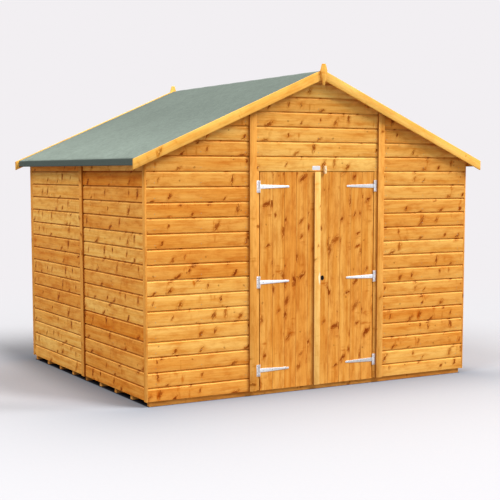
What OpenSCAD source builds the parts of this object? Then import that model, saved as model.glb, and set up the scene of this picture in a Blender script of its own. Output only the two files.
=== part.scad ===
// Apex garden shed of framed, shiplap-clad panels: floor on joists, felted roof,
// ledged double doors on tee hinges and a turn button over the doors.
// Millimetres, +X to the right across the front, +Y towards the back, +Z up.
// The origin is on the ground, under the middle of the shed.

/* [Walls] */
// Width across the front and back cladding
shed_w = 2970; // [2600:10:3400]
// Length of one side wall panel; each side has two
side_panel_l = 1219; // [1000:1:1500]
// Width of the front and back middle panels
door_panel_w = 1200; // [1100:10:1400]
// Height of the roof boards' underside at the outer face of the side walls
eaves_h = 1853; // [1845:1:2000]
// Thickness of the cladding boards
clad_t = 12; // [10:1:16]
// Height of the cladding's lower edge above the ground
clad_foot = 40; // [30:1:42]

/* [Wall frames] */
// Face width of studs and rails
frame_w = 44; // [34:1:56]
// Depth of studs and rails behind the cladding
frame_t = 36; // [28:1:44]
// Height of the middle rails' centre above the ground
mid_rail_h = 950; // [800:10:1100]
// Gap left where one frame bar butts against another
butt_gap = 0.3; // [0.2:0.1:0.6]

/* [Floor] */
// Width of a joist
joist_w = 38; // [28:1:50]
// Height of a joist
joist_h = 45; // [44:1:60]
// Greatest distance between joist centres
joist_pitch = 310; // [250:1:400]
// Thickness of the floor boards
deck_t = 12; // [10:1:18]
// How far the floor stays inside the frames' outer faces
floor_inset = 5; // [5:1:10]

/* [Roof] */
// Slope of the roof in degrees
roof_pitch = 23.42; // [20:0.02:27]
// Thickness of the roof boards
board_t = 12; // [10:1:18]
// Thickness of the felt
felt_t = 2.5; // [2:0.5:4]
// How far the roof boards reach past the side walls
eave_over = 92; // [70:1:150]
// How far the roof boards reach past the front and back cladding
gable_over = 43; // [30:1:100]
// Side of the square batten under the eaves' edge
eave_batten = 35; // [20:1:40]
// How far the felt hangs below the eaves batten
felt_drip = 2; // [1:1:8]
// Thickness of a rafter along the ridge
rafter_t = 36; // [24:1:44]
// Depth of a rafter, square to the slope
rafter_d = 58; // [44:1:75]
// Distance between rafters along the ridge
rafter_pitch = 600; // [450:10:700]

/* [Barge boards and finials] */
// Depth of a barge board, square to the slope
barge_d = 70; // [60:1:95]
// Thickness of a barge board
barge_t = 15; // [12:1:20]
// How far a barge board stands above the felt
barge_rise = 7; // [2:1:12]
// How far a barge board runs past the eaves' felt
barge_end = 31; // [3:1:60]
// Greatest width of a finial
finial_w = 60; // [44:1:80]
// Width of a finial's flat top
finial_top_w = 28; // [16:1:40]
// Width of a finial's lower tip
finial_tip_w = 10; // [6:1:20]
// Height of a finial's top above the barge boards' peak
finial_up = 44; // [30:1:70]
// Depth of a finial's tip below the barge boards' peak
finial_down = 122; // [100:1:160]
// Thickness of a finial
finial_t = 16; // [12:1:20]

/* [Cover strips] */
// Width of the strips over panel joints
strip_w = 60; // [50:1:80]
// Width of the strips at the corners
corner_w = 42; // [36:1:60]
// Thickness of the strips
strip_t = 15; // [10:1:18]
// Height of the strips' lower ends above the ground
strip_foot = 38; // [20:1:44]

/* [Doors] */
// Height of the doorway's top above the ground
door_top = 1735; // [1680:1:1770]
// Height of a leaf's lower edge above the ground
leaf_foot = 36; // [30:1:44]
// Thickness of the leaf boards
leaf_t = 12; // [10:1:14]
// Gap round a leaf at its post and at the top
leaf_gap = 5; // [5:0.5:8]
// Gap between the two leaves
meeting_gap = 6; // [5:0.5:10]
// Width of a door post
post_w = 60; // [56:1:80]
// How far the header hangs below the doorway's top, as a stop
header_drop = 20; // [12:1:30]
// Height of the header
header_h = 60; // [44:1:80]
// Width of the ledges and braces behind the leaves
ledge_w = 70; // [60:1:90]
// Thickness of the ledges and braces
ledge_t = 22; // [18:1:26]
// Distance from a leaf's edge to a ledge's end
ledge_inset = 32; // [26:1:50]
// Distance of the meeting strip's middle to the left of the line where the leaves meet
meeting_shift = 15; // [8:1:18]
// Width of the strip over the meeting leaves
meeting_w = 56; // [50:1:70]
// Thickness of the meeting strip
meeting_t = 16; // [12:1:20]
// Depth of the rebate behind the strip where it laps the right leaf
meeting_rebate = 5; // [5:0.5:7]

/* [Hinges] */
// Distance of the top hinge below the leaf's top
hinge_from_top = 112; // [90:1:160]
// Distance of the low hinge above the leaf's foot
hinge_from_foot = 159; // [120:1:200]
// Length of a strap from the pin to its tip
strap_l = 268; // [200:1:320]
// Width of a strap beside the pin
strap_root = 32; // [28:1:40]
// Width of a strap at its rounded tip
strap_tip = 15; // [12:1:24]
// Height of a hinge plate
plate_h = 92; // [80:1:110]
// Width of a hinge plate from the pin to its outer edge
plate_w = 29; // [24:1:30]
// Thickness of the hinge sheet
sheet_t = 2.5; // [2:0.1:3]
// Radius of a hinge pin
pin_r = 2.5; // [2:0.1:3]
// Radial clearance between a pin and its knuckle
pin_clear = 0.05; // [0.03:0.01:0.08]
// Outer radius of a knuckle
knuckle_r = 5.2; // [4.6:0.1:6]

/* [Lock and turn button] */
// Distance of the keyhole from the middle of the doorway
lock_x = 41; // [36:1:70]
// Height of the keyhole above the ground
lock_h = 892; // [850:1:930]
// Width of the keyhole plate
key_plate_w = 29; // [24:1:34]
// Height of the keyhole plate
key_plate_h = 38; // [34:1:46]
// Thickness of the keyhole plate
key_plate_t = 3; // [2:0.5:5]
// Width of the lock case
case_w = 92; // [80:1:110]
// Height of the lock case
case_h = 62; // [50:1:70]
// Thickness of the lock case
case_t = 18; // [14:1:22]
// Distance of the turn button's screw from the middle of the doorway
button_x = 53; // [44:1:90]
// Height of the screw above the doorway's top
button_rise = 17; // [16:1:26]
// Reach of the button above its screw
button_up = 26; // [20:1:50]
// Reach of the button below its screw
button_down = 37; // [34:1:56]
// Width of the button
button_w = 17; // [16:1:26]
// Thickness of the button
button_t = 20; // [12:1:24]
// Gap between the button and the wall behind it
button_gap = 5; // [5:0.5:10]
// Radius of the button's screw
screw_r = 2.5; // [2:0.1:3]

/* [Hidden] */
$fn = 48;

// Half sizes of the walls, and the planes that the panels are built on
wall_t = clad_t + frame_t;
half_w = shed_w / 2;
half_d = side_panel_l + wall_t;
joint_x = door_panel_w / 2;
clad_y = -half_d;
frame_y = clad_y + clad_t;
room_y = clad_y + wall_t;

// Roof lines: heights over x of the boards' underside, of what bears it and of the layers on it
slope = tan(roof_pitch);
upright = 1 / cos(roof_pitch);
apex_z = eaves_h + slope * half_w;
eave_x = half_w + eave_over;
roof_y = half_d + gable_over;
board_v = board_t * upright;
felt_v = felt_t * upright;
barge_peak = apex_z + board_v + felt_v + barge_rise * upright;
batten_foot = apex_z - slope * eave_x - eave_batten;
function under_z(x) = apex_z - slope * abs(x);
function seat_z(x) = under_z(x) - butt_gap;
function rail_z(x) = seat_z(x) - frame_w * upright;

// Floor levels
deck_z = joist_h;
floor_z = joist_h + deck_t;
floor_half_w = half_w - clad_t - floor_inset;
floor_half_d = half_d - clad_t - floor_inset;
last_joist = floor_half_d - joist_w / 2;
joist_steps = ceil(last_joist / joist_pitch);

// Doorway and leaves
opening_x = joint_x - post_w;
leaf_x = opening_x - leaf_gap;
leaf_edge = meeting_gap / 2;
leaf_top = door_top - leaf_gap;
header_y = frame_y + floor_inset;
leaf_back = clad_y + leaf_t;
hinge_heights = [leaf_foot + hinge_from_foot, (leaf_top + leaf_foot) / 2, leaf_top - hinge_from_top];
pin_x = opening_x - leaf_gap / 2;
pin_y = clad_y - knuckle_r;
knuckle_gap = 0.5;
plate_clear = 0.8;
button_z = door_top + button_rise;
button_y = clad_y - button_gap;

pine = "#e0a04c";
pale_pine = "#f0c060";
felt_green = "#88a898";
zinc = "#d8dce2";
lock_black = "#202022";

// A block between two corners
module block(low, high) {
    translate(low) cube(high - low);
}

// An outline in X and Z, as thick as from y0 to y1
module upright_slab(y0, y1, outline) {
    translate([0, y1, 0]) rotate([90, 0, 0]) linear_extrude(y1 - y0) polygon(outline);
}

// Draws its children at the front, and turned round to the back
module at_back() {
    rotate([0, 0, 180]) children();
}

// Draws its children on the left, or mirrored onto the right
module on_right() {
    mirror([1, 0, 0]) children();
}

// Floor

module floor_joists() {
    color(pine) for (i = [-joist_steps : joist_steps]) {
        y = i * last_joist / joist_steps;
        block([-floor_half_w, y - joist_w / 2, 0], [floor_half_w, y + joist_w / 2, joist_h]);
    }
}

module floor_deck() {
    color(pine) block([-floor_half_w, -floor_half_d, deck_z], [floor_half_w, floor_half_d, floor_z]);
}

// Cladding

// A gable panel's boards from x0 to x1, from height z0 up to the roof
module gable_cladding(x0, x1, z0) {
    peak = x0 < 0 && x1 > 0 ? [[0, seat_z(0)]] : [];
    color(pine) upright_slab(clad_y, frame_y,
        concat([[x0, z0], [x1, z0], [x1, seat_z(x1)]], peak, [[x0, seat_z(x0)]]));
}

// A left side panel's boards from y0 to y1
module side_cladding(y0, y1) {
    inner = half_w - clad_t;
    color(pine) upright_slab(y0, y1,
        [[-half_w, clad_foot], [-inner, clad_foot], [-inner, seat_z(inner)], [-half_w, seat_z(half_w)]]);
}

// Wall frames

// An upright bar of a gable frame, centred on x, from height z0 to the sloping rail
module gable_stud(x, z0) {
    x0 = x - frame_w / 2;
    x1 = x + frame_w / 2;
    peak = x0 < 0 && x1 > 0 ? [[0, rail_z(0) - butt_gap]] : [];
    upright_slab(frame_y, room_y,
        concat([[x0, z0], [x1, z0], [x1, rail_z(x1) - butt_gap]], peak, [[x0, rail_z(x0) - butt_gap]]));
}

// The sloping top rail of a gable frame from x0 to x1, on one side of the ridge
module gable_rail(x0, x1) {
    upright_slab(frame_y, room_y,
        [[x0, rail_z(x0)], [x1, rail_z(x1)], [x1, seat_z(x1)], [x0, seat_z(x0)]]);
}

// Short rails at mid height between neighbouring studs at the given centres
module gable_mid_rails(centres) {
    side = frame_w / 2 + butt_gap;
    for (i = [0 : len(centres) - 2])
        block([centres[i] + side, frame_y, mid_rail_h - frame_w / 2],
              [centres[i + 1] - side, room_y, mid_rail_h + frame_w / 2]);
}

// The whole frame of a gable panel from x0 to x1 with the given number of bays
module gable_panel_frame(x0, x1, bays) {
    first = x0 + frame_w / 2;
    step = (x1 - x0 - frame_w) / bays;
    centres = [for (i = [0 : bays]) first + i * step];
    block([x0, frame_y, floor_z], [x1, room_y, floor_z + frame_w]);
    for (x = centres) gable_stud(x, floor_z + frame_w + butt_gap);
    gable_mid_rails(centres);
    if (x0 < 0 && x1 > 0) {
        gable_rail(x0, -butt_gap / 2);
        gable_rail(butt_gap / 2, x1);
    } else
        gable_rail(x0, x1);
}

module front_frame() {
    color(pine) {
        gable_panel_frame(-half_w, -joint_x - butt_gap, 2);
        gable_panel_frame(joint_x + butt_gap, half_w, 2);
    }
}

module rear_frame() {
    color(pine) at_back() {
        gable_panel_frame(-half_w, -joint_x - butt_gap, 2);
        gable_panel_frame(-joint_x, joint_x, 2);
        gable_panel_frame(joint_x + butt_gap, half_w, 2);
    }
}

// A door post: the frame bar on the floor, with its face flush with the cladding
module left_post() {
    rotate([90, 0, 90]) translate([0, 0, -joint_x]) linear_extrude(post_w) polygon([
        [clad_y, clad_foot], [frame_y, clad_foot], [frame_y, floor_z], [room_y, floor_z],
        [room_y, door_top - header_drop - butt_gap], [frame_y, door_top - header_drop - butt_gap],
        [frame_y, door_top], [clad_y, door_top]
    ]);
}

module door_frame() {
    header_top = door_top - header_drop + header_h;
    stud_x = joint_x - frame_w / 2;
    color(pine) {
        left_post();
        on_right() left_post();
        block([-joint_x, header_y, door_top - header_drop], [joint_x, header_y + frame_t, header_top]);
        for (x = [-stud_x, 0, stud_x]) gable_stud(x, header_top + butt_gap);
        gable_rail(-joint_x, -butt_gap / 2);
        gable_rail(butt_gap / 2, joint_x);
    }
}

// A left side panel's frame from y0 to y1, with its top rail cut to the slope
module side_panel_frame(y0, y1) {
    outer = half_w - clad_t;
    inner = half_w - wall_t;
    rail_foot = seat_z(outer) - frame_w;
    low_top = floor_z + frame_w;
    step = (y1 - y0 - frame_w) / 2;
    block([-outer, y0, floor_z], [-inner, y1, low_top]);
    upright_slab(y0, y1,
        [[-outer, rail_foot], [-inner, rail_foot], [-inner, seat_z(inner)], [-outer, seat_z(outer)]]);
    for (i = [0 : 2])
        block([-outer, y0 + i * step, low_top + butt_gap],
              [-inner, y0 + i * step + frame_w, rail_foot - butt_gap]);
    for (i = [0 : 1])
        block([-outer, y0 + i * step + frame_w + butt_gap, mid_rail_h - frame_w / 2],
              [-inner, y0 + (i + 1) * step - butt_gap, mid_rail_h + frame_w / 2]);
}

module left_frame() {
    color(pine) {
        side_panel_frame(-side_panel_l, -butt_gap / 2);
        side_panel_frame(butt_gap / 2, side_panel_l);
    }
}

module right_frame() {
    on_right() left_frame();
}

// Cover strips

// A strip on the front cladding from x0 to x1, with its top cut to the slope
module front_strip(x0, x1) {
    upright_slab(clad_y - strip_t, clad_y,
        [[x0, strip_foot], [x1, strip_foot], [x1, seat_z(x1)], [x0, seat_z(x0)]]);
}

// A strip on the left cladding from y0 to y1
module left_strip(y0, y1) {
    outer = half_w + strip_t;
    upright_slab(y0, y1,
        [[-outer, strip_foot], [-half_w, strip_foot], [-half_w, seat_z(half_w)], [-outer, seat_z(outer)]]);
}

module front_cover_strips() {
    half = strip_w / 2;
    color(pale_pine) for (x = [-joint_x, joint_x]) front_strip(x - half, x + half);
}

module rear_cover_strips() {
    at_back() front_cover_strips();
}

module side_cover_strips() {
    half = strip_w / 2;
    color(pale_pine) {
        left_strip(-half, half);
        on_right() left_strip(-half, half);
    }
}

// On the sides at the front corners, and on the rear wall at the rear ones
module corner_strips() {
    color(pale_pine) {
        left_strip(-half_d, corner_w - half_d);
        on_right() left_strip(-half_d, corner_w - half_d);
        at_back() for (x0 = [-half_w, half_w - corner_w]) front_strip(x0, x0 + corner_w);
    }
}

// Roof

module left_roof_boards() {
    color(pine) upright_slab(-roof_y, roof_y, [
        [0, apex_z], [-eave_x, under_z(eave_x)], [-eave_x, under_z(eave_x) + board_v], [0, apex_z + board_v]
    ]);
}

// A rafter under the left slope, centred on y
module left_rafter(y) {
    foot_x = -(half_w - wall_t) + butt_gap;
    top_x = -butt_gap;
    deep = rafter_d * upright;
    upright_slab(y - rafter_t / 2, y + rafter_t / 2, [
        [top_x, seat_z(top_x) - deep], [foot_x, seat_z(foot_x) - deep],
        [foot_x, seat_z(foot_x)], [top_x, seat_z(top_x)]
    ]);
}

// Rafters between the gables, and the batten under the eaves' edge
module left_roof_bearers() {
    batten_x = eave_x - eave_batten;
    color(pine) {
        for (y = [-rafter_pitch, 0, rafter_pitch]) left_rafter(y);
        upright_slab(-roof_y, roof_y, [
            [-eave_x, batten_foot], [-batten_x, batten_foot],
            [-batten_x, seat_z(batten_x)], [-eave_x, seat_z(eave_x)]
        ]);
    }
}

// The tie across the middle pair of rafters, fixed to their back faces
module roof_tie() {
    tie_end = half_w - wall_t - rafter_d;
    tie_top = under_z(half_w - wall_t) - rafter_d * upright + rafter_d / 2;
    y0 = rafter_t / 2;
    color(pine) upright_slab(y0, y0 + rafter_t, [
        [-tie_end, tie_top - rafter_d], [tie_end, tie_top - rafter_d], [tie_end, tie_top], [-tie_end, tie_top]
    ]);
}

// Felt on the left slope, turned down over the eaves
module left_felt() {
    edge_x = eave_x + felt_t;
    foot = batten_foot - felt_drip;
    color(felt_green) upright_slab(-roof_y, roof_y, [
        [0, apex_z + board_v], [-eave_x, under_z(eave_x) + board_v], [-eave_x, foot], [-edge_x, foot],
        [-edge_x, under_z(edge_x) + board_v + felt_v], [0, apex_z + board_v + felt_v]
    ]);
}

module front_left_barge() {
    end_x = eave_x + felt_t + barge_end;
    deep = barge_d * upright;
    end_z = barge_peak - slope * end_x;
    color(pale_pine) upright_slab(-roof_y - barge_t, -roof_y, [
        [0, barge_peak - deep], [0, barge_peak], [-end_x, end_z], [-end_x, end_z - deep]
    ]);
}

// Diamond-shaped board over the joint of the barge boards
module front_finial() {
    y1 = -roof_y - barge_t;
    top_z = barge_peak + finial_up;
    tip_z = barge_peak - finial_down;
    wide_z = barge_peak - barge_rise * upright;
    color(pale_pine) upright_slab(y1 - finial_t, y1, [
        [-finial_top_w / 2, top_z], [-finial_w / 2, wide_z], [-finial_tip_w / 2, tip_z],
        [finial_tip_w / 2, tip_z], [finial_w / 2, wide_z], [finial_top_w / 2, top_z]
    ]);
}

// Tee hinges

// The left post's plate at height z: sheet, two knuckles and the pin through them
module left_hinge_plate(z) {
    sheet_x = -pin_x - knuckle_r - plate_clear;
    outer_x = -pin_x - plate_w;
    knuckle_h = (plate_h - strap_root) / 2 - knuckle_gap;
    block([outer_x, clad_y - sheet_t, z - plate_h / 2], [sheet_x, clad_y, z + plate_h / 2]);
    for (foot = [z - plate_h / 2, z + plate_h / 2 - knuckle_h]) {
        block([sheet_x, clad_y - sheet_t, foot], [-pin_x, clad_y, foot + knuckle_h]);
        translate([-pin_x, pin_y, foot]) cylinder(r = knuckle_r, h = knuckle_h);
    }
    translate([-pin_x, pin_y, z - plate_h / 2]) cylinder(r = pin_r, h = plate_h);
}

module hinge_plates() {
    color(zinc) for (z = hinge_heights) {
        left_hinge_plate(z);
        on_right() left_hinge_plate(z);
    }
}

// The left leaf's strap at height z: a tapering sheet with a round tip and one knuckle
module left_hinge_strap(z) {
    root_x = -pin_x + knuckle_r;
    tip_x = -pin_x + strap_l - strap_tip / 2;
    difference() {
        union() {
            translate([0, clad_y, z]) rotate([90, 0, 0]) linear_extrude(sheet_t) {
                polygon([[root_x, -strap_root / 2], [tip_x, -strap_tip / 2],
                         [tip_x, strap_tip / 2], [root_x, strap_root / 2]]);
                translate([tip_x, 0]) circle(d = strap_tip);
            }
            block([-pin_x, clad_y - sheet_t, z - strap_root / 2], [root_x, clad_y, z + strap_root / 2]);
            translate([-pin_x, pin_y, z - strap_root / 2]) cylinder(r = knuckle_r, h = strap_root);
        }
        translate([-pin_x, pin_y, z - strap_root]) cylinder(r = pin_r + pin_clear, h = 2 * strap_root);
    }
}

module left_hinge_straps() {
    color(zinc) for (z = hinge_heights) left_hinge_strap(z);
}

// Door leaves

module left_door_leaf() {
    color(pine) block([-leaf_x, clad_y, leaf_foot], [-leaf_edge, leaf_back, leaf_top]);
}

// Three ledges behind the leaf, and a brace in each bay that rises from the hinge side
module left_door_ledges() {
    x0 = -leaf_x + ledge_inset;
    x1 = -leaf_edge - ledge_inset;
    half = ledge_w / 2;
    color(pine) {
        for (z = hinge_heights) block([x0, leaf_back, z - half], [x1, leaf_back + ledge_t, z + half]);
        for (i = [0 : 1]) {
            low = hinge_heights[i] + half + butt_gap;
            high = hinge_heights[i + 1] - half - butt_gap;
            foot = ledge_w * 1.4;
            upright_slab(leaf_back, leaf_back + ledge_t, [[x0, low], [x0 + foot, low], [x1, high], [x1 - foot, high]]);
        }
    }
}

// Strip on the left leaf that laps the right one, rebated so that it clears it
module meeting_strip() {
    x0 = -meeting_shift - meeting_w / 2;
    x1 = -meeting_shift + meeting_w / 2;
    front = clad_y - meeting_t;
    back = clad_y - meeting_rebate;
    color(pale_pine) translate([0, 0, leaf_foot]) linear_extrude(leaf_top - leaf_foot) polygon([
        [x0, clad_y], [-leaf_edge, clad_y], [-leaf_edge, back], [x1, back], [x1, front], [x0, front]
    ]);
}

// Oval keyhole plate on the face, and the lock case on the middle ledge behind it
module door_lock() {
    slot_w = key_plate_w / 4;
    hole_r = key_plate_w / 5;
    color(lock_black) {
        translate([lock_x, clad_y, lock_h]) rotate([90, 0, 0]) linear_extrude(key_plate_t) difference() {
            union() {
                for (s = [-1, 1]) translate([0, s * (key_plate_h - key_plate_w) / 2]) circle(d = key_plate_w);
                square([key_plate_w, key_plate_h - key_plate_w], center = true);
            }
            translate([0, hole_r / 2]) circle(hole_r);
            translate([-slot_w / 2, -key_plate_h / 3]) square([slot_w, key_plate_h / 3]);
        }
        y0 = leaf_back + ledge_t;
        z0 = hinge_heights[1] - case_h / 2;
        x0 = leaf_edge + ledge_inset;
        block([x0, y0, z0], [x0 + case_w, y0 + case_t, z0 + case_h]);
    }
}

// Turn button

// Screw with a collar behind the button and a head in front of it
module button_screw() {
    play = 0.3;
    head_r = 2 * screw_r;
    collar_r = 3 * screw_r;
    head_t = 3;
    color(zinc) translate([button_x, clad_y, button_z]) rotate([90, 0, 0]) {
        cylinder(r = collar_r, h = button_gap - play);
        cylinder(r = screw_r, h = button_gap + button_t + play);
        translate([0, 0, button_gap + button_t + play]) cylinder(r = head_r, h = head_t);
    }
}

module turn_button() {
    end_r = button_w / 2;
    color(pale_pine) translate([button_x, button_y, button_z]) rotate([90, 0, 0]) linear_extrude(button_t) difference() {
        union() {
            for (z = [button_up - end_r, end_r - button_down]) translate([0, z]) circle(end_r);
            translate([-end_r, end_r - button_down]) square([button_w, button_up + button_down - button_w]);
        }
        circle(screw_r + pin_clear);
    }
}

floor_joists();
floor_deck();
gable_cladding(-half_w, -joint_x, clad_foot);  // front_left_cladding
gable_cladding(joint_x, half_w, clad_foot);  // front_right_cladding
gable_cladding(-joint_x, joint_x, door_top);  // front_gable_cladding
at_back() gable_cladding(joint_x, half_w, clad_foot);  // rear_left_cladding
at_back() gable_cladding(-joint_x, joint_x, clad_foot);  // rear_middle_cladding
at_back() gable_cladding(-half_w, -joint_x, clad_foot);  // rear_right_cladding
side_cladding(-side_panel_l, 0);  // left_front_cladding
side_cladding(0, side_panel_l);  // left_rear_cladding
on_right() side_cladding(-side_panel_l, 0);  // right_front_cladding
on_right() side_cladding(0, side_panel_l);  // right_rear_cladding
front_frame();
door_frame();
rear_frame();
left_frame();
right_frame();
front_cover_strips();
rear_cover_strips();
side_cover_strips();
corner_strips();
left_roof_boards();
on_right() left_roof_boards();  // right_roof_boards
left_roof_bearers();
on_right() left_roof_bearers();  // right_roof_bearers
roof_tie();
left_felt();
on_right() left_felt();  // right_felt
front_left_barge();
on_right() front_left_barge();  // front_right_barge
at_back() on_right() front_left_barge();  // rear_left_barge
at_back() front_left_barge();  // rear_right_barge
front_finial();
at_back() front_finial();  // rear_finial
hinge_plates();
button_screw();
left_door_leaf();
left_door_ledges();
left_hinge_straps();
on_right() left_door_leaf();  // right_door_leaf
on_right() left_door_ledges();  // right_door_ledges
on_right() left_hinge_straps();  // right_hinge_straps
meeting_strip();
door_lock();
turn_button();
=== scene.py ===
"""Apex garden shed: shiplap walls on a joisted floor, felt roof, ledged double doors on tee hinges."""
import bmesh
import bpy
import math
import numpy as np
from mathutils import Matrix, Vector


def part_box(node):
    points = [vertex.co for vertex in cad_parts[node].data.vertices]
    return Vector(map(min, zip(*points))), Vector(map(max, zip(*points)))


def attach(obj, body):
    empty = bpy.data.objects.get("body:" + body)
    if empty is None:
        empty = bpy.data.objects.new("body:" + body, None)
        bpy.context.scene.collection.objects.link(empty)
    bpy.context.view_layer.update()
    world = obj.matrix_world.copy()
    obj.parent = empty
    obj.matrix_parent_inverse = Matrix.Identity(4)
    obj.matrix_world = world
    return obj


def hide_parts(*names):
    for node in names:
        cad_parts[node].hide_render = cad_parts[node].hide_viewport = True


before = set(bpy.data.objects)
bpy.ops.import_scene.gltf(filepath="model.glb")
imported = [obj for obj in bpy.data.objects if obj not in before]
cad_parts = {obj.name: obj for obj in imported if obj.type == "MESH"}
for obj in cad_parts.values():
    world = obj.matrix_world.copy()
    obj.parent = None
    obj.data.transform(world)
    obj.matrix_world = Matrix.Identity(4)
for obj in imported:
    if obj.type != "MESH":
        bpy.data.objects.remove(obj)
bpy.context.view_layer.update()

# Floor joists
# Nine sawn softwood bars that carry the shed and stand on the ground. They run across the
# width, and their ends show under the side walls. Dipped in the same stain as the walls.


class Wire:
    """One socket of a material. Arithmetic on it adds Math nodes; add() makes any other node."""

    def __init__(self, tree, socket=None):
        self.tree, self.socket = tree, socket

    def add(self, kind, settings=None, inputs=None, out=0):
        """A new node with its settings, then its sockets' values or links; gives one of its outputs."""
        node = self.tree.nodes.new(kind)
        for key, value in (settings or {}).items():
            setattr(node, key, value)
        for key, value in (inputs or {}).items():
            if isinstance(value, Wire):
                self.tree.links.new(value.socket, node.inputs[key])
            else:
                node.inputs[key].default_value = value
        return Wire(self.tree, node.outputs[out])

    def out(self, name):
        """Another output of the same node."""
        return Wire(self.tree, self.socket.node.outputs[name])

    def math(self, operation, a, b=0.0):
        """One operation on two numbers."""
        return self.add("ShaderNodeMath", {"operation": operation}, {0: a, 1: b})

    def __add__(self, other):
        return self.math("ADD", self, other)

    def __sub__(self, other):
        return self.math("SUBTRACT", self, other)

    def __rsub__(self, other):
        return self.math("SUBTRACT", other, self)

    def __mul__(self, other):
        return self.math("MULTIPLY", self, other)

    def __truediv__(self, other):
        return self.math("DIVIDE", self, other)

    def __pow__(self, other):
        return self.math("POWER", self, other)

    __radd__, __rmul__ = __add__, __mul__

    def smooth(self, low, high):
        """0 at low, 1 at high, with a soft step between; low may be the larger."""
        return self.add("ShaderNodeMapRange", {"interpolation_type": "SMOOTHSTEP"},
                        {"Value": self, "From Min": low, "From Max": high})

    def mix(self, a, b):
        """Colour a where this is 0, b where it is 1."""
        return self.add("ShaderNodeMix", {"data_type": "RGBA"}, {0: self, 6: a, 7: b}, out=2)

    def shaded(self, amount):
        """This colour times a number."""
        return self.add("ShaderNodeMix", {"data_type": "RGBA", "blend_type": "MULTIPLY"},
                        {0: 1.0, 6: self, 7: amount}, out=2)

    def vector(self, operation, a, b):
        """One operation on two vectors."""
        return self.add("ShaderNodeVectorMath", {"operation": operation}, {0: a, 1: b})

    def noise(self, scales, detail=3.0, rough=0.55):
        """Noise over this vector, stretched by a scale on each axis."""
        place = self.vector("MULTIPLY", self, scales)
        return self.add("ShaderNodeTexNoise", None, {"Vector": place, "Scale": 1.0, "Detail": detail,
                                                     "Roughness": rough})


def srgb(r, g, b):
    """A screen colour from 0 to 255 as linear light: a power curve with a short straight foot."""
    return tuple(c / 12.92 if c <= 0.04045 else ((c + 0.055) / 1.055) ** 2.4
                 for c in (r / 255, g / 255, b / 255)) + (1.0,)


def finish(name, paint):
    """A material whose shader sockets are what paint() gives for a bare Wire."""
    material = bpy.data.materials.new(name)
    material.use_nodes = True
    tree = material.node_tree
    shader = tree.nodes["Principled BSDF"]
    for key, value in paint(Wire(tree)).items():
        if isinstance(value, Wire):
            tree.links.new(value.socket, shader.inputs[key])
        else:
            shader.inputs[key].default_value = value
    return material


board_w, longest_shift = 0.114, 60


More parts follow.
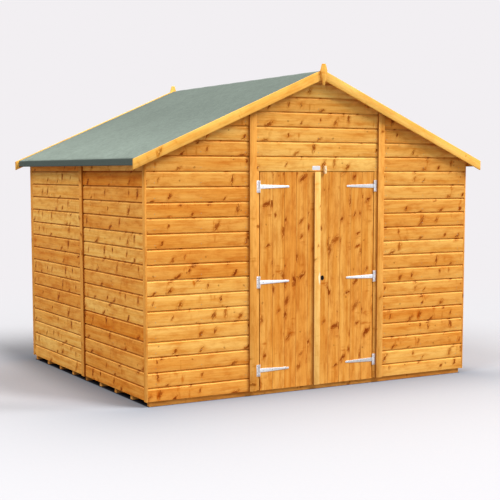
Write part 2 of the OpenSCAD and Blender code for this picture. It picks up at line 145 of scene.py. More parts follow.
def stained(light, middle, dark, knot, knots=0.5, tint=(0.92, 0.77, 0.60, 1.0), joint=None, crown_shade=0.0,
            sides=0.0, rough=0.62, slant=1.0, big=1.0, bare=None):
    """Stained softwood. The piece's grain attribute runs along, across and through each bar in metres:
    streaks and ring lines are noise stretched along it. Knots are smudges of slanting marks in an oval.
    They lie in the crowded cells of a Voronoi plan, with pin knots between, and bend the lines round
    themselves; slant turns them and big scales them. The tone attribute tints one bar more than the next.
    joint gives two depths into a joint and a strength: down to the first the colour is lightened, a
    painted highlight where the stain is also thin, and from there to the second it is darkened, painted
    shade in the recess together with pooled stain. crown paints shade across a board: it lightens a board
    towards its top, or its foot where it is below 0. sides paints shade on the thin sides of a strip. bare
    gives the middle and half size, across and up, of a patch rubbed down to the wood."""

    def paint(w):
        """The colour, roughness and bump of the stain."""
        grain = w.add("ShaderNodeAttribute", {"attribute_name": "grain"}, out="Vector")
        tone = w.add("ShaderNodeAttribute", {"attribute_name": "tone"}, out="Fac")
        axes = w.add("ShaderNodeSeparateXYZ", None, {0: grain})
        along, across, through = axes, axes.out("Y"), axes.out("Z")

        # Knots: at most one in each cell, more where the crowd noise is high, none where luck is low.
        cell = (0.15, 0.09, 1.0)
        wobble = w.vector("SUBTRACT", grain.noise((30.0, 36.0, 36.0), 2.0).out("Color"), (0.5, 0.5, 0.5))
        place = w.vector("ADD", grain, w.vector("MULTIPLY", wobble, (0.03, 0.026, 0.0)))
        plan = w.vector("DIVIDE", place, cell)
        cells = w.add("ShaderNodeTexVoronoi", {"voronoi_dimensions": "2D"},
                      {"Vector": plan, "Scale": 1.0, "Randomness": 0.85}, out="Color")
        middle_of = cells.out("Position")
        away = w.vector("MULTIPLY", w.vector("SUBTRACT", plan, middle_of), cell)
        away = w.add("ShaderNodeSeparateXYZ", None, {0: away})
        off_along, off_across = away, away.out("Y")
        luck = w.add("ShaderNodeSeparateColor", None, {0: cells})
        size, lean = luck.out("Blue"), luck.out("Green")
        crowd = w.vector("MULTIPLY", middle_of, cell).noise((3.4, 3.0, 1.0), 1.0).smooth(0.42, 0.58)
        here = w.math("GREATER_THAN", luck, 1.0 - knots * (0.15 + crowd))
        depth = here * (0.5 + 0.5 * w.math("FRACT", luck * 31.0))
        angle = slant + 1.2 * (lean - 0.5)
        cosine, sine = w.math("COSINE", angle), w.math("SINE", angle)
        down, aside = off_along * cosine + off_across * sine, off_across * cosine - off_along * sine
        length = big * (0.016 + 0.028 * size * size)
        breadth = big * (0.0066 + 0.0075 * size)
        far = ((down / length) ** 2.0 + (aside / breadth) ** 2.0) ** 0.5
        marks = w.add("ShaderNodeCombineXYZ", None, {0: down + luck, 1: aside + lean, 2: size})
        marks = marks.noise((34.0, 170.0, 9.0), 2.0, 0.6)
        dots = w.add("ShaderNodeTexVoronoi", {"voronoi_dimensions": "2D"},
                     {"Vector": w.vector("DIVIDE", place, (0.055, 0.055, 1.0)), "Scale": 1.0})
        pin = w.math("GREATER_THAN", w.add("ShaderNodeSeparateColor", None, {0: dots.out("Color")}),
                     1.0 - 0.04 * knots) * dots.smooth(0.19, 0.07) * 0.5
        core = w.math("MAXIMUM", depth * (marks - 0.30 * far).smooth(0.14, 0.36), pin)
        halo = here * far.smooth(2.6, 0.4)
        rim = here * far.smooth(1.9, 0.9) * marks.smooth(0.47, 0.37)
        bend = here * w.math("EXPONENT", 0.0 - (off_along / 0.04) ** 2.0 - (off_across / 0.022) ** 2.0)
        bent = across - 0.8 * off_across * bend
        flow = w.add("ShaderNodeCombineXYZ", None, {0: along, 1: bent, 2: through})

        # Grain, from the widest streaks to single fibres.
        streak = flow.noise((1.2, 24.0, 24.0), 4.0, 0.62).smooth(0.34, 0.68)
        blotch = flow.noise((6.0, 20.0, 20.0), 4.0, 0.62).smooth(0.40, 0.74)
        wander = flow.noise((0.9, 7.0, 7.0), 2.0)
        rings = (0.5 + 0.5 * w.math("SINE", bent * 300.0 + wander * 30.0)) ** 3.0
        fibre = flow.noise((9.0, 420.0, 420.0), 3.0, 0.6)
        stipple = flow.noise((55.0, 110.0, 110.0), 3.0, 0.7)
        smear = (flow.noise((24.0, 8.0, 8.0), 2.0).smooth(0.56, 0.75)
                 * flow.noise((3.4, 3.0, 3.0), 1.0).smooth(0.5, 0.6))

        # Colour: the stain over the grain, then the knots, then the bar's own tone and its edges.
        colour = (0.15 + 0.75 * streak).mix(light, middle)
        colour = (blotch * 0.62).mix(colour, dark)
        colour = (rings * (0.04 + 0.18 * streak)).mix(colour, dark)
        colour = (halo * 0.7 + smear * 0.8).mix(colour, dark)
        colour = (rim * 0.6).mix(colour, light)
        colour = (fibre.smooth(0.45, 0.75) * 0.2 + stipple.smooth(0.5, 0.8) * 0.25).mix(colour, dark)
        colour = core.mix(colour, knot)
        tone = tone + 1.6 * (flow.noise((1.7, 5.0, 5.0), 2.0) - 0.5)
        colour = colour.shaded(w.add("ShaderNodeMix", {"data_type": "RGBA", "clamp_factor": False},
                                     {0: tone, 6: (1.0, 1.0, 1.0, 1.0), 7: tint}, out=2))
        # Painted shade: each board grows lighter towards one edge, as light falls across a rounded face.
        if crown_shade:
            colour = colour.shaded((1.0 - crown_shade) + across * (2.0 * crown_shade / board_w))
        if joint:
            # The back of a wall board, 12 mm in, stays plain.
            shallow, deep, strength = joint
            # A painted highlight on the outer part of the joint, where the stain is also thin; deeper in,
            # painted shade with pooled stain.
            rub_and_sheen = through.smooth(-0.0002, -0.0012) * through.smooth(-shallow, -0.6 * shallow)
            pooled_stain_and_shade = through.smooth(-shallow, -deep) * through.smooth(-0.0118, -0.0108)
            colour = (rub_and_sheen * 0.6).mix(colour, light)
            colour = (pooled_stain_and_shade * strength).mix(colour, knot)
        if sides:
            # Painted shade on the thin sides of a strip.
            flank = w.add("ShaderNodeAttribute", {"attribute_name": "flank"}, out="Fac")
            colour = (flank.smooth(0.6, 0.95) * sides).mix(colour, knot)
        if bare:
            x, z, half_x, half_z = bare
            wood = srgb(255, 232, 190)
            spot = w.add("ShaderNodeSeparateXYZ", None, {0: w.add("ShaderNodeTexCoord", out="Object")})
            spread = ((spot - x) / half_x) ** 2.0 + ((spot.out("Z") - z) / half_z) ** 2.0
            colour = (spread + stipple * 1.5).smooth(1.9, 1.0).mix(colour, wood)
        height = fibre * 0.5 + rings * 0.3 + core * 0.4
        return {"Base Color": colour, "Roughness": rough + 0.16 * fibre, "Specular IOR Level": 0.05,
                "Normal": w.add("ShaderNodeBump", None, {"Strength": 0.3, "Distance": 0.0006,
                                                         "Height": height})}

    return paint


# One seeded source gives every bar its shift along the grain and its tone.
chance = np.random.default_rng(24)


def eased(name, nodes, arris):
    """The CAD solids of some nodes in one mesh, with every sharp edge rounded by the arris. Corners that
    meet are welded and flat facets joined first."""
    weld, flat, sharp_from = 1e-6, 0.01, 0.35
    solid = bmesh.new()
    for node in nodes:
        solid.from_mesh(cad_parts[node].data)
    bmesh.ops.remove_doubles(solid, verts=solid.verts, dist=weld)
    bmesh.ops.dissolve_limit(solid, angle_limit=flat, verts=solid.verts, edges=solid.edges)
    sharp = [e for e in solid.edges if len(e.link_faces) == 2 and e.calc_face_angle() > sharp_from]
    bmesh.ops.bevel(solid, geom=sharp, offset=arris, segments=2, profile=0.5, affect="EDGES",
                    clamp_overlap=True)
    mesh = bpy.data.meshes.new(name)
    solid.to_mesh(mesh)
    solid.free()
    return mesh


def timber(name, nodes, material, body="shed", arris=0.0015, tones=(0.0, 1.0)):
    """The CAD bars of some nodes as cut timber. Each loose solid's grain attribute measures from its
    middle along its three main directions, found from the spread of its corners, the longest first, with
    a shift of its own. flank tells how far a face looks along the second direction."""
    mesh = eased(name, nodes, arris)
    points = np.empty((len(mesh.vertices), 3), np.float32)
    mesh.vertices.foreach_get("co", points.ravel())
    edges = np.empty((len(mesh.edges), 2), np.int32)
    mesh.edges.foreach_get("vertices", edges.ravel())
    normal = np.empty((len(mesh.polygons), 3), np.float32)
    mesh.polygons.foreach_get("normal", normal.ravel())
    first = np.empty(len(mesh.polygons), np.int32)
    mesh.polygons.foreach_get("loop_start", first)
    corner = np.empty(len(mesh.loops), np.int32)
    mesh.loops.foreach_get("vertex_index", corner)

    # Corners of one solid share a number: each edge passes the lower one on until none changes.
    stick = np.arange(len(points))
    while True:
        lowest = np.minimum(stick[edges[:, 0]], stick[edges[:, 1]])
        joined = stick.copy()
        np.minimum.at(joined, edges[:, 0], lowest)
        np.minimum.at(joined, edges[:, 1], lowest)
        if (joined == stick).all():
            break
        stick = joined
    grain, tone = np.zeros_like(points), np.zeros(len(points), np.float32)
    flank = np.zeros(len(normal), np.float32)
    for root in np.unique(stick):
        mine = stick == root
        centre = points[mine] - points[mine].mean(0)
        turn = np.linalg.eigh(centre.T @ centre)[1][:, ::-1]
        turn *= np.sign(turn.sum(0) + 1e-9)
        grain[mine] = centre @ turn + (chance.uniform(0, longest_shift), chance.uniform(0, board_w), 0)
        tone[mine] = chance.uniform(*tones)
        faces = mine[corner[first]]
        flank[faces] = np.abs(normal[faces] @ turn[:, 1])
    mesh.attributes.new("flank", "FLOAT", "FACE").data.foreach_set("value", flank)
    return piece(mesh, material, body, nodes, grain, tone)


def piece(mesh, material, body, nodes=(), grain=None, tone=None):
    """Puts a mesh into the scene, with its grain and tone attributes, in place of CAD nodes if any. It is
    shaded smooth, apart from edges that turn more than the crease angle."""
    if grain is not None:
        mesh.attributes.new("grain", "FLOAT_VECTOR", "POINT").data.foreach_set("vector", grain.ravel())
        mesh.attributes.new("tone", "FLOAT", "POINT").data.foreach_set("value", tone.ravel())
    crease = 0.6
    mesh.materials.append(material)
    mesh.polygons.foreach_set("use_smooth", np.ones(len(mesh.polygons), bool))
    mesh.set_sharp_from_angle(angle=crease)
    thing = bpy.data.objects.new(mesh.name, mesh)
    bpy.context.scene.collection.objects.link(thing)
    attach(thing, body)
    if nodes:
        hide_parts(*nodes)
    return thing


sawn_stain = finish("sawn_stain", stained(srgb(240, 180, 96), srgb(226, 152, 68), srgb(180, 106, 34),
                                          srgb(104, 54, 14), 0.4, rough=0.7))
timber("joists", ["floor_joists"], sawn_stain, arris=0.002)

# Floor boards
# Planed tongue-and-groove boards, nailed across the joists from front to back with a fine
# vee at each joint. They show through the open doors.


def planks(name, axes, low, high, begin, end, edge, thick, material, nodes, body="shed", slot=None,
           origin=(0, 0, 0), tones=(-0.2, 1.1)):
    """Boards laid edge to edge. axes are the directions along, across and out of the face. edge() gives
    each board's face profile as distances across and out; it is carried from begin() to end(), the
    distances along for a place across, so a cut can slope. The back is flat, with eased edges."""
    back_ease = 0.0008
    low, high = np.asarray(low, float)[:, None], np.asarray(high, float)[:, None]
    across, out = edge(low, high)
    back = np.clip(across, low + back_ease, high - back_ease)[:, ::-1]
    ring = np.concatenate([across, back], 1)
    depth = np.concatenate([out, np.full_like(back, -thick)], 1)
    along = np.stack([begin(ring), end(ring)], 1)
    count, sides = len(low), ring.shape[1]
    half = sides // 2
    place = np.stack([along, np.repeat(ring[:, None], 2, 1), np.repeat(depth[:, None], 2, 1)], -1)
    axes = np.array(axes, float)
    points = (np.array(origin) + place @ axes).reshape(-1, 3)

    start = np.arange(count)[:, None] * 2 * sides
    k = np.arange(sides)
    step = (k + 1) % sides
    wall = np.stack([k, k + sides, step + sides, step], -1)[None] + start[:, :, None]
    j = np.arange(half - 1)
    cap = np.stack([j, j + 1, sides - 2 - j, sides - 1 - j], -1)
    caps = np.concatenate([cap, cap[:, ::-1] + sides])[None] + start[:, :, None]
    faces = np.concatenate([wall.reshape(-1, 4), caps.reshape(-1, 4)])
    if np.linalg.det(axes) > 0:
        faces = faces[:, ::-1]
    mesh = bpy.data.meshes.new(name)
    mesh.from_pydata(points, [], faces.tolist())

    grain = place - np.stack([np.zeros_like(low), low, np.zeros_like(low)], -1)[:, :, None]
    grain[..., 0] += chance.uniform(0, longest_shift, (count, 1, 1))
    # About one board in eight is darker than the rest.
    tone = chance.uniform(*tones, (count, 1)) + 0.6 * (chance.uniform(0, 1, (count, 1)) > 0.88)
    tone = np.repeat(tone, 2 * sides, 1)
    return piece(mesh, material, body, nodes, grain.reshape(-1, 3).astype(np.float32),
                 tone.ravel().astype(np.float32))


def vee(width):
    """A flat face with a chamfer of the given width along both edges."""
    return lambda low, high: (
        np.concatenate([low, low + width, high - width, high], 1),
        np.broadcast_to([-width, 0, 0, -width], (len(low), 4)))


floor_stain = finish("floor_stain", stained(srgb(232, 178, 98), srgb(214, 150, 70), srgb(176, 108, 38),
                                            srgb(124, 68, 20), joint=(0.0004, 0.0012, 0.2)))
low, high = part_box("floor_deck")
board_count = 26
joints = np.linspace(low.x, high.x, board_count + 1)
planks("floor_boards", [(0, 1, 0), (1, 0, 0), (0, 0, 1)], joints[:-1], joints[1:],
       lambda a: np.full_like(a, low.y), lambda a: np.full_like(a, high.y), vee(0.0012), high.z - low.z,
       floor_stain, ["floor_deck"], slot="floor_wood", origin=(0, 0, high.z))

# Wall frames
# Planed bars butted and nailed into panels: rails at floor, middle and roof, studs between.
# The door panel has posts whose faces stand flush with the cladding, under a header.

frame_stain = finish("frame_stain", stained(srgb(240, 182, 92), srgb(224, 154, 66), srgb(184, 112, 36),
                                            srgb(130, 70, 18), 0.35))
for wall in ("front_frame", "rear_frame", "left_frame", "right_frame"):
    timber(wall + "_bars", [wall], frame_stain)

# Cladding
# Shiplap boards nailed level on each frame, all round at the same heights. The top of each
# face is scooped, and the square lip of the board above hangs over the scoop.

pitch, scoop_h, scoop_d = 0.1138, 0.018, 0.0070
course_steps = np.arange(-15, 8)
shiplap_stain = finish("shiplap_stain", stained(
    srgb(252, 196, 104), srgb(240, 168, 72), srgb(208, 116, 24), srgb(142, 62, 2), 0.72,
    joint=(0.0052, 0.0068, 0.25), crown_shade=-0.08))
# The side walls take a shaded copy: deeper painted shade in the joints and darker grain colours.
side_stain = finish("side_stain", stained(
    srgb(252, 196, 104), srgb(240, 168, 72), srgb(200, 106, 16), srgb(128, 52, 0), 0.68,
    joint=(0.0045, 0.0068, 0.6), crown_shade=-0.1))
gable_low, gable_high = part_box("front_gable_cladding")
panel_low, panel_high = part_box("front_left_cladding")
fall = (gable_high.z - panel_high.z) / abs(panel_high.x)


def shiplap(low, high):
    """From the lip up: a rounded lower edge, the flat face, then a hollow arc of a circle that starts
    into the board at 60 degrees and ends upright. A panel's top board is cut off, so it has no hollow."""
    lip, ease = 0.002, 0.0006
    turn = np.linspace(math.radians(60), 0, 8)
    topmost = (high == high.max()).astype(float)
    hollow = high - scoop_h + scoop_d * 2 * (math.sin(turn[0]) - np.sin(turn))
    across = np.concatenate([low, low + ease, low + lip, hollow, high], 1)
    sink = np.concatenate([[lip, ease, 0], scoop_d * 2 * (np.cos(turn) - 0.5), [scoop_d]])
    lower_edge = np.arange(len(sink)) < 3
    return across, -np.where(lower_edge, sink, sink * (1 - topmost))


def courses(foot, top):
    """The heights of a panel's boards: joints a pitch apart, counted from just over the doorway. No board
    is left narrower than a sliver."""
    over_door, sliver = 0.004, 0.02
    line = gable_low.z + over_door + pitch * course_steps
    line = line[(line > foot + sliver) & (line < top - sliver)]
    return np.concatenate([[foot], line]), np.concatenate([line, [top]])


for wall, along in (("front", 1), ("rear", -1)):
    for panel in ("left", "gable" if wall == "front" else "middle", "right"):
        node = f"{wall}_{panel}_cladding"
        low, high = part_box(node)
        ends = sorted((low.x * along, high.x * along))
        planks(f"{wall}_{panel}_shiplap", [(along, 0, 0), (0, 0, 1), (0, -along, 0)],
               *courses(low.z, high.z),
               lambda a: np.maximum(ends[0], (a - gable_high.z) / fall),
               lambda a: np.minimum(ends[1], (gable_high.z - a) / fall),
               shiplap, high.y - low.y, shiplap_stain, [node], slot="cladding_wood",
               origin=(0, low.y if along > 0 else high.y, 0),
               # The gable boards are painted lighter, to make up for the shade under the barge boards.
               tones=(-0.7, 0.6) if panel == "gable" else (-0.2, 1.1))
for wall, along in (("left", -1), ("right", 1)):
    for panel in ("front", "rear"):
        node = f"{wall}_{panel}_cladding"
        low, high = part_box(node)
        ends = sorted((low.y * along, high.y * along))
        planks(f"{wall}_{panel}_shiplap", [(0, along, 0), (0, 0, 1), (along, 0, 0)],
               *courses(low.z, high.z - fall * (high.x - low.x)),
               lambda a: np.full_like(a, ends[0]), lambda a: np.full_like(a, ends[1]),
               shiplap, high.x - low.x, side_stain, [node], slot="cladding_wood",
               origin=(low.x if along < 0 else high.x, 0, 0), tones=(-0.6, 1.3))

# Cladding nails
# Round wire nails of galvanised steel, dulled by the stain. One is driven through every board
# into each stud, a little above the board's lower edge, with its low head left proud.


def heads(name, places, out, outline, profile, material, body):
    """Low caps on a surface. outline gives a closed ring as distances to the right and up; profile gives
    rings as a scale of the outline and a height, from the rim to the top, which is closed by one face.
    A copy stands at each place, facing out; its face attribute holds the place across the cap."""
    places, out = np.asarray(places, float), np.asarray(out, float)
    right = np.cross((0, 0, 1), out)
    ring = np.stack(outline, -1)
    scale, rise = np.array(profile).T
    flat = scale[:, None, None] * ring
    shape = flat @ np.stack([right, (0, 0, 1)]) + rise[:, None, None] * out
    rows, columns = shape.shape[:2]
    points = places[:, None, None] + shape
    i, j = np.meshgrid(np.arange(rows - 1), np.arange(columns), indexing="ij")
    step = (j + 1) % columns
    quads = np.stack([i * columns + j, i * columns + step, (i + 1) * columns + step,
                      (i + 1) * columns + j], -1)
    start = np.arange(len(places)) * rows * columns
    quads = quads.reshape(-1, 4) + start[:, None, None]
    caps = (rows - 1) * columns + np.arange(columns) + start[:, None]
    mesh = bpy.data.meshes.new(name)
    mesh.from_pydata(points.reshape(-1, 3), [], quads.reshape(-1, 4).tolist() + caps.tolist())
    spot = np.zeros(points.shape, np.float32)
    spot[..., :2] = flat / np.abs(ring).max()
    mesh.attributes.new("face", "FLOAT_VECTOR", "POINT").data.foreach_set("vector", spot.ravel())
    return piece(mesh, material, body)


def galvanised(w):
    """Dull zinc, clouded by a fine noise."""
    place = w.add("ShaderNodeTexCoord", out="Object")
    bloom = place.noise((180.0, 180.0, 180.0), 3.0, 0.6)
    colour = bloom.smooth(0.3, 0.7).mix(srgb(150, 132, 104), srgb(196, 178, 146))
    return {"Base Color": colour, "Metallic": 0.6, "Roughness": 0.45 + 0.2 * bloom}


nail_zinc = finish("nail_zinc", galvanised)
around = np.linspace(0, 2 * math.pi, 12, endpoint=False)
nail_r = 0.003
nail_rim = (nail_r * np.cos(around), nail_r * np.sin(around))
nail_dome = ((1, 0), (0.96, 0.0003), (0.7, 0.0006), (0.3, 0.0007))
nail_up, lowest, under_roof, under_eaves = 0.03, 0.06, 0.05, 1.8
boards = gable_low.z + pitch * course_steps + nail_up
panel_studs, gable_studs = (-1.42, -1.04, -0.66, 0.66, 1.04, 1.42), (-0.55, 0.0, 0.55)
side_studs = (-1.2, -0.62, -0.06, 0.06, 0.62, 1.2)
for wall, along in (("front", 1), ("rear", -1)):
    x, z = np.meshgrid(panel_studs, boards[boards > lowest])
    x2, z2 = np.meshgrid(gable_studs, boards[boards > (gable_low.z if along > 0 else lowest)])
    x, z = np.append(x, x2), np.append(z, z2)
    inside = z < gable_high.z - fall * np.abs(x) - under_roof
    y = panel_low.y if along > 0 else -panel_low.y
    heads(f"{wall}_nails", np.stack([x, np.full_like(x, y), z], -1)[inside], (0, -along, 0), nail_rim,
          nail_dome, nail_zinc, "shed")
for wall, along in (("left", -1), ("right", 1)):
    y, z = np.meshgrid(side_studs, boards[(boards > lowest) & (boards < under_eaves)])
    x = np.full_like(y, along * abs(panel_low.x))
    heads(f"{wall}_nails", np.stack([x, y, z], -1).reshape(-1, 3), (along, 0, 0), nail_rim, nail_dome,
          nail_zinc, "shed")

# Cover strips and door posts
# Planed strips of cleaner wood than the boards, nailed over the panel joints and the corners
# once the panels stand. The door posts are the same stock.

planed = srgb(244, 184, 96), srgb(234, 165, 74), srgb(198, 118, 32), srgb(150, 78, 12)
# strip_stain paints shade on the thin sides of the strips and door posts; post_stain has none.
strip_stain = finish("strip_stain", stained(*planed, 0.3, sides=0.75))
post_stain = finish("post_stain", stained(*planed, 0.3))
timber("front_joint_strips", ["front_cover_strips"], strip_stain, tones=(0.3, 0.6))
timber("rear_joint_strips", ["rear_cover_strips"], strip_stain, tones=(0.3, 0.6))
timber("side_joint_strips", ["side_cover_strips"], strip_stain, tones=(0.6, 0.8))
timber("corner_strips_planed", ["corner_strips"], post_stain, tones=(0.6, 0.8))
timber("door_posts", ["door_frame"], strip_stain, tones=(0.2, 0.6))

# Roof timbers
# Sawn and planed softwood: rafters, a tie across the middle pair, eaves battens, and boards
# nailed level along the roof. Their undersides show at the overhangs and inside.

timber("rafters_and_battens", ["left_roof_bearers", "right_roof_bearers", "roof_tie"], frame_stain)
roof_board_count = 16
for side, sign in (("left", -1), ("right", 1)):
    node = f"{side}_roof_boards"
    low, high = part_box(node)
    slope = np.array([sign, 0, -fall]) / math.hypot(1, fall)
    up = np.array([sign * fall, 0, 1]) / math.hypot(1, fall)
    reach = max(abs(low.x), abs(high.x)) * math.hypot(1, fall)
    thick = (high.z - low.z - fall * (high.x - low.x)) / math.hypot(1, fall)
    joints = np.linspace(0, reach, roof_board_count + 1)
    planks(f"{side}_roof_planks", [(0, 1, 0), slope, up], joints[:-1], joints[1:],
           lambda a: np.full_like(a, low.y), lambda a: np.full_like(a, high.y), vee(0.001), thick,
           floor_stain, [node], slot="roof_wood", origin=(0, 0, high.z))

# Felt
# Bitumen felt faced with green mineral chips, laid over the roof boards and turned down over
# the eaves, where its smooth margin shows darker.


def chips(w):
    """Mineral chips as fine speckle, clouded and paler towards the eaves; bare margin past the fold."""
    run = w.add("ShaderNodeAttribute", {"attribute_name": "run"}, out="Fac")
    place = w.add("ShaderNodeTexCoord", out="Object")
    speck = place.noise((900.0, 900.0, 900.0), 2.0, 0.7)
    cloud = place.noise((2.2, 2.2, 2.2), 4.0, 0.6).smooth(0.3, 0.7)
    blot = place.noise((26.0, 26.0, 26.0), 3.0, 0.75).smooth(0.3, 0.7)
    # The chips turn paler from the ridge towards the eaves.
    paler_to_eaves = run.smooth(0.35, 1.0).mix(srgb(99, 110, 101), srgb(117, 129, 119))
    colour = paler_to_eaves.shaded(0.72 + 0.56 * speck)
    colour = colour.shaded(0.83 + 0.09 * cloud + 0.25 * blot)
    bare = speck.smooth(0.3, 0.7).mix(srgb(58, 68, 62), srgb(84, 96, 90))
    colour = run.smooth(1.0, 1.004).mix(colour, bare)
    return {"Base Color": colour, "Roughness": 0.84 + 0.1 * speck, "Specular IOR Level": 0.3,
            "Normal": w.add("ShaderNodeBump", None, {"Strength": 0.5, "Distance": 0.001, "Height": speck})}


def felt_sheet(name, node, material):
    """A sheet from the ridge down the slope and over a rounded eaves edge: the profile's places, as
    distances out and up, are carried along the ridge. Low waves, sines of both places multiplied, lift
    the sheet a little and die out near the gables. Its run attribute goes from 0 at the ridge to 1 at the
    edge and on down the fold."""
    low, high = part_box(node)
    sign = 1 if high.x > 0.5 else -1
    edge, fold = max(abs(low.x), abs(high.x)), 0.008
    ripple, calm, sheet_t = 0.0008, 0.2, 0.0022
    down = np.linspace(0, edge - fold, 60)
    turn = np.linspace(0, 1, 7)[1:]
    drop = np.linspace(0, 1, 8)[1:]
    eave_z = high.z - fall * edge
    bend = edge - fold + fold * np.sin(turn * math.pi / 2)
    bend_z = eave_z + fall * fold - (fold + fall * fold) * (1 - np.cos(turn * math.pi / 2))
    out = np.concatenate([down, bend, np.full_like(drop, edge)])
    up = np.concatenate([high.z - fall * down, bend_z, bend_z[-1] + (low.z - bend_z[-1]) * drop])
    run = np.concatenate([down / (edge - fold), 1 + 0.004 * turn, 1.004 + 0.05 * drop])
    side = np.linspace(low.y, high.y, 130)
    wave = ripple * (np.sin(9.0 * side + sign)[:, None] * np.sin(5.0 * out)
                     + np.sin(23.0 * side)[:, None] * np.sin(11.0 * out + 1.0))
    wave = (wave + 2 * ripple) * np.clip((high.y - np.abs(side)) / calm, 0, 1)[:, None]
    points = np.stack([np.broadcast_to(sign * out, wave.shape), np.broadcast_to(side[:, None], wave.shape),
                       up + wave * (run <= 1.0)], -1)
    rows, columns = wave.shape
    i = (np.arange(rows - 1)[:, None] * columns + np.arange(columns - 1)).ravel()
    faces = np.stack([i, i + 1, i + columns + 1, i + columns], -1)
    if sign < 0:
        faces = faces[:, ::-1]
    mesh = bpy.data.meshes.new(name)
    mesh.from_pydata(points.reshape(-1, 3), [], faces.tolist())
    mesh.attributes.new("run", "FLOAT", "POINT").data.foreach_set(
        "value", np.broadcast_to(run, wave.shape).astype(np.float32).ravel())
    mesh.materials.append(material)
    mesh.polygons.foreach_set("use_smooth", np.ones(len(mesh.polygons), bool))
    thing = bpy.data.objects.new(name, mesh)
    bpy.context.scene.collection.objects.link(thing)
    thick = thing.modifiers.new("thickness", "SOLIDIFY")
    thick.thickness, thick.offset = sheet_t, -1.0
    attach(thing, "shed")
    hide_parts(node)


mineral_felt = finish("mineral_felt", chips)
for side in ("left", "right"):
    felt_sheet(f"{side}_felt_sheet", f"{side}_felt", mineral_felt)

# Barge boards and finials
# Planed boards nailed to the ends of the roof with their upper edge a little above the felt,
# mitred at the ridge under a diamond-shaped finial.

barge_stain = finish("barge_stain", stained(srgb(255, 204, 108), srgb(248, 186, 84), srgb(222, 146, 50),
                                            srgb(166, 96, 24), 0.25))
for node in ("front_left_barge", "front_right_barge", "rear_left_barge", "rear_right_barge",
             "front_finial", "rear_finial"):
    timber(node + "_board", [node], barge_stain, arris=0.002,
           tones=(0.0, 0.3) if node.startswith("front") else (-0.6, -0.4))

# Door leaves
# Upright tongue-and-groove boards with a fine vee at each joint, nailed to ledges and braces. A
# planed strip planted on the left leaf laps the right one, and is rubbed bare beside the lock.

door_stain = finish("door_stain", stained(
    srgb(240, 182, 94), srgb(223, 150, 58), srgb(187, 100, 18), srgb(136, 58, 0), 0.6,
    joint=(0.0006, 0.0018, 0.4), slant=0.55, big=1.2))
door_joints = {"left": (-0.419, -0.312, -0.205, -0.098), "right": (0.100, 0.207, 0.314, 0.421)}
for side, inner in door_joints.items():
    node = f"{side}_door_leaf"
    low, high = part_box(node)
    joints = np.array([low.x, *inner, high.x])
    planks(f"{side}_door_boards", [(0, 0, 1), (1, 0, 0), (0, -1, 0)], joints[:-1], joints[1:],
           lambda a: np.full_like(a, low.z), lambda a: np.full_like(a, high.z), vee(0.002),
           high.y - low.y, door_stain, [node], f"{side}_door", "door_wood", origin=(0, low.y, 0),
           tones=(0.2, 0.8))
    timber(f"{side}_ledges_and_braces", [f"{side}_door_ledges"], frame_stain, f"{side}_door")
# The meeting strip's thin sides carry painted shade too.
rubbed_stain = finish("rubbed_stain", stained(
    srgb(252, 204, 122), srgb(246, 190, 104), srgb(224, 152, 64), srgb(150, 78, 12), 0.4,
    tint=(0.97, 0.91, 0.83, 1.0), sides=0.8, slant=0.5, bare=(0.010, 0.89, 0.016, 0.055)))
timber("meeting_strip_planed", ["meeting_strip"], rubbed_stain, "left_door", arris=0.002,
       tones=(-0.3, -0.2))

# Turn button
# A small block of pale unstained softwood with round ends. It turns on one screw in the board
# above the doors, and its lower end holds the right leaf shut.

button_stain = finish("button_stain", stained(
    srgb(255, 242, 206), srgb(252, 230, 178), srgb(232, 196, 130), srgb(180, 130, 70), 0.1))
timber("turn_button_block", ["turn_button"], button_stain, "turn_button", arris=0.002)

# Hinges, screw and lock
# Tee hinges pressed from steel sheet and zinc plated: a plate with its pin on each post, a tapered
# strap on the leaf. The lock case behind the right leaf and its keyhole plate are enamelled black.


def plated(w):
    """Bright zinc with a faint spangle and fine rubbing."""
    place = w.add("ShaderNodeTexCoord", out="Object")
    spangle = place.noise((60.0, 60.0, 60.0), 3.0, 0.6)
    rub_and_sheen = place.noise((400.0, 400.0, 900.0), 2.0)
    colour = spangle.smooth(0.3, 0.7).mix(srgb(226, 228, 232), srgb(246, 246, 248))
    return {"Base Color": colour, "Metallic": 0.75, "Roughness": 0.34 + 0.16 * rub_and_sheen}


def enamel(w):
    """Black stoved enamel with a slight orange-peel grain."""
    place = w.add("ShaderNodeTexCoord", out="Object")
    orange_peel = place.noise((700.0, 700.0, 700.0), 2.0)
    colour = orange_peel.smooth(0.3, 0.7).mix(srgb(12, 11, 11), srgb(26, 24, 23))
    return {"Base Color": colour, "Roughness": 0.4 + 0.2 * orange_peel, "Specular IOR Level": 0.1}


zinc_plate = finish("zinc_plate", plated)
black_enamel = finish("black_enamel", enamel)
sheet_edge = 0.0004
for name, node, body, material, slot in (
        ("hinge_plates_and_pins", "hinge_plates", "shed", zinc_plate, "zinc"),
        ("left_straps", "left_hinge_straps", "left_door", zinc_plate, "zinc"),
        ("right_straps", "right_hinge_straps", "right_door", zinc_plate, "zinc"),
        ("button_pivot_screw", "button_screw", "shed", zinc_plate, "zinc"),
        ("lock_case_and_keyhole_plate", "door_lock", "right_door", black_enamel, "lock_black")):
    piece(eased(name, [node], sheet_edge), material, body, [node])

# Hinge screws
# Round-headed steel screws with a cross recess, driven home: three in each strap and two at
# each end of a post plate.


def cross_head(w):
    """Bright steel with a dark cross of painted shade for the recess: two bars, long one way and thin the
    other, over the cap.
    """
    face = w.add("ShaderNodeSeparateXYZ", None,
                 {0: w.add("ShaderNodeAttribute", {"attribute_name": "face"}, out="Vector")})
    right, up = w.math("ABSOLUTE", face), w.math("ABSOLUTE", face.out("Y"))
    cross = w.math("MAXIMUM", right.smooth(0.62, 0.56) * up.smooth(0.2, 0.14),
                   up.smooth(0.62, 0.56) * right.smooth(0.2, 0.14))
    return {"Base Color": cross.mix(srgb(214, 216, 220), srgb(40, 40, 42)), "Metallic": 0.8,
            "Roughness": 0.35 + 0.3 * cross}


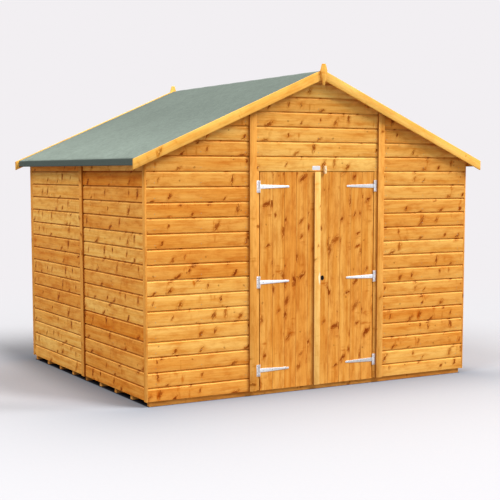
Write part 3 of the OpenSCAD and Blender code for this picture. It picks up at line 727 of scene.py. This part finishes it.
screw_steel = finish("screw_steel", cross_head)
around = np.linspace(0, 2 * math.pi, 20, endpoint=False)
screw_r = 0.0038
screw_rim = (screw_r * np.cos(around), screw_r * np.sin(around))
screw_dome = ((1, 0), (0.97, 0.0006), (0.85, 0.0011), (0.62, 0.0014))
hinge_heights, head_seat = (0.195, 0.883, 1.618), 0.0022
seat_y = panel_low.y - head_seat
strap_holes = np.array([0.505, 0.420, 0.300])
plate_x, plate_holes = 0.5555, (-0.034, -0.015, 0.015, 0.034)
for side, sign in (("left", -1), ("right", 1)):
    x, z = np.meshgrid(sign * strap_holes, hinge_heights)
    heads(f"{side}_strap_screws", np.stack([x, np.full_like(x, seat_y), z], -1).reshape(-1, 3),
          (0, -1, 0), screw_rim, screw_dome, screw_steel, f"{side}_door")
x, z, up = np.meshgrid([-plate_x, plate_x], hinge_heights, plate_holes)
heads("plate_screws", np.stack([x, np.full_like(x, seat_y), z + up], -1).reshape(-1, 3), (0, -1, 0),
      screw_rim, screw_dome, screw_steel, "shed")

# Keyhole and plate over the doors
# The dark of the keyhole is a low black oval behind the opening of its plate on the right leaf.
# A plain plate of brushed aluminium with round corners is fixed to the board over the doors.

around = np.linspace(0, 2 * math.pi, 24, endpoint=False)
right, up = np.cos(around), np.sin(around)
keyhole_at, keyhole_half_w, keyhole_half_h = (0.041, panel_low.y, 0.892), 0.010, 0.014
heads("keyhole_dark", [keyhole_at], (0, -1, 0), (keyhole_half_w * right, keyhole_half_h * up),
      ((1, 0), (1, 0.0006), (0.9, 0.0008)), black_enamel, "right_door")


def brushed(w):
    """Aluminium brushed level: noise drawn out along the plate."""
    place = w.add("ShaderNodeTexCoord", out="Object")
    lines = place.noise((20.0, 20.0, 1800.0), 2.0)
    colour = lines.mix(srgb(206, 208, 212), srgb(240, 240, 242))
    return {"Base Color": colour, "Metallic": 0.6, "Roughness": 0.32 + 0.2 * lines}


square_x, square_z = np.sign(right) * np.abs(right) ** 0.25, np.sign(up) * np.abs(up) ** 0.25
plate_at, plate_half_w, plate_half_h = (-0.0215, panel_low.y, 1.7605), 0.0375, 0.0165
heads("bare_plate", [plate_at], (0, -1, 0), (plate_half_w * square_x, plate_half_h * square_z),
      ((1, 0), (1, 0.001), (0.98, 0.0013), (0.9, 0.0013)), finish("brushed_plate", brushed), "shed")

# Studio
# A matt pale floor, with painted shade round the shed, that fades into a plain backdrop. An even dome of
# light, a soft key from the upper right, a fill from the upper left, and the camera.

backdrop, foreground = srgb(242, 239, 242), srgb(252, 250, 252)
floor_look = bpy.data.materials.new("floor_sweep")
floor_look.use_nodes = True
w = Wire(floor_look.node_tree)
place = w.add("ShaderNodeTexCoord", out="Object")
far = w.add("ShaderNodeVectorMath", {"operation": "LENGTH"}, {0: place}, out="Value")
axes = w.add("ShaderNodeSeparateXYZ", None, {0: place})
right, back = axes, axes.out("Y")
speckle = place.noise((40.0, 40.0, 40.0), 2.0)
path = w.add("ShaderNodeLightPath", out="Is Camera Ray")
seen = path + path.out("Is Glossy Ray") + path.out("Is Transmission Ray")

# Painted shade darkens the floor close to the footprint. Painted light lifts it inside the shadow that the
# key light casts to the left, whose edge is a slanting line from the front corner, and beside the right
# wall, and it is a little darker towards the back. Under the shed painted shade makes it nearly black.
inset, cast_slope, fade_over = 0.005, 0.839, 0.8
half_w, half_d = abs(panel_low.x), abs(panel_low.y) - inset
out_x, out_y = w.math("ABSOLUTE", right) - half_w, w.math("ABSOLUTE", back) - half_d
reach = (w.math("MAXIMUM", out_x, 0.0) ** 2.0 + w.math("MAXIMUM", out_y, 0.0) ** 2.0) ** 0.5
painted_contact_shade = w.math("EXPONENT", reach / -fade_over)
pale = painted_contact_shade.mix((0.476, 0.472, 0.486, 1.0), (0.236, 0.253, 0.286, 1.0))
cast = (back + cast_slope * right + (half_d + cast_slope * half_w)).smooth(-0.3, 0.3)
cast = cast * right.smooth(-1.45, -1.9) * right.smooth(-3.0, -2.2)
pale = pale.shaded(1.0 + cast * (0.58 + 0.4 * back.smooth(0.2, 1.6) * back.smooth(3.2, 2.2)))
pale = pale.shaded(1.0 - 0.11 * back.smooth(-1.6, 0.4))
pale = pale.shaded(1.0 + 0.4 * painted_contact_shade * right.smooth(1.45, 1.8) * back.smooth(-1.6, -1.0))
pale = w.math("MAXIMUM", out_x, out_y).smooth(0.0, -0.012).mix(pale, (0.02, 0.02, 0.025, 1.0))
pale = pale.shaded(0.98 + 0.04 * speckle)

# Light that bounces off it meets a plain grey. Far out it glows as the backdrop does, paler in front.
matt = w.add("ShaderNodeBsdfDiffuse", None, {"Color": path.mix((0.22, 0.22, 0.22, 1.0), pale)})
front = back.smooth(-0.5, -3.5) * far.smooth(14.0, 7.0)
plain = w.add("ShaderNodeEmission", None, {"Color": front.mix(backdrop, foreground)})
blend = w.add("ShaderNodeMixShader", None, {0: far.smooth(3.5, 9.0) * seen, 1: matt, 2: plain})
w.tree.links.new(blend.socket, w.tree.nodes["Material Output"].inputs["Surface"])

floor_mesh = bpy.data.meshes.new("floor")
floor_half = 60
corners = floor_half * np.array([(-1, -1, 0), (1, -1, 0), (1, 1, 0), (-1, 1, 0)])
floor_mesh.from_pydata(corners.tolist(), [], [(0, 1, 2, 3)])
floor_mesh.materials.append(floor_look)
floor = bpy.data.objects.new("floor", floor_mesh)
bpy.context.scene.collection.objects.link(floor)

world = bpy.data.worlds.new("studio")
bpy.context.scene.world = world
world.use_nodes = True
w = Wire(world.node_tree)
dome = w.add("ShaderNodeBackground", None, {"Color": (1.0, 0.99, 1.0, 1.0), "Strength": 0.5})
plain = w.add("ShaderNodeBackground", None, {"Color": backdrop})
path = w.add("ShaderNodeLightPath", out="Is Camera Ray")
seen = path + path.out("Is Glossy Ray") + path.out("Is Transmission Ray")
blend = w.add("ShaderNodeMixShader", None, {0: seen, 1: dome, 2: plain})
w.tree.links.new(blend.socket, w.tree.nodes["World Output"].inputs["Surface"])

# Name and strength, then the tilt, the turn and the spread in degrees
lamps = (("key", 4.5, 40.6, 50, 32), ("fill", 1.95, 38, -85, 34))
for name, energy, tilt, turn, spread in lamps:
    sun = bpy.data.lights.new(name, "SUN")
    sun.energy, sun.angle = energy, math.radians(spread)
    lamp = bpy.data.objects.new(name, sun)
    lamp.rotation_euler = (math.radians(tilt), 0, math.radians(turn))
    bpy.context.scene.collection.objects.link(lamp)

lens = bpy.data.cameras.new("camera")
lens.lens, lens.sensor_width, lens.shift_y = 81.40, 36.0, 0.0688
camera = bpy.data.objects.new("camera", lens)
camera.location = (-4.908, -8.7585, 1.7304)
camera.rotation_euler = (math.radians(90 - 5.684), 0, math.radians(-29.780))
bpy.context.scene.collection.objects.link(camera)
bpy.context.scene.camera = camera
bpy.context.scene.view_settings.view_transform = "Standard"
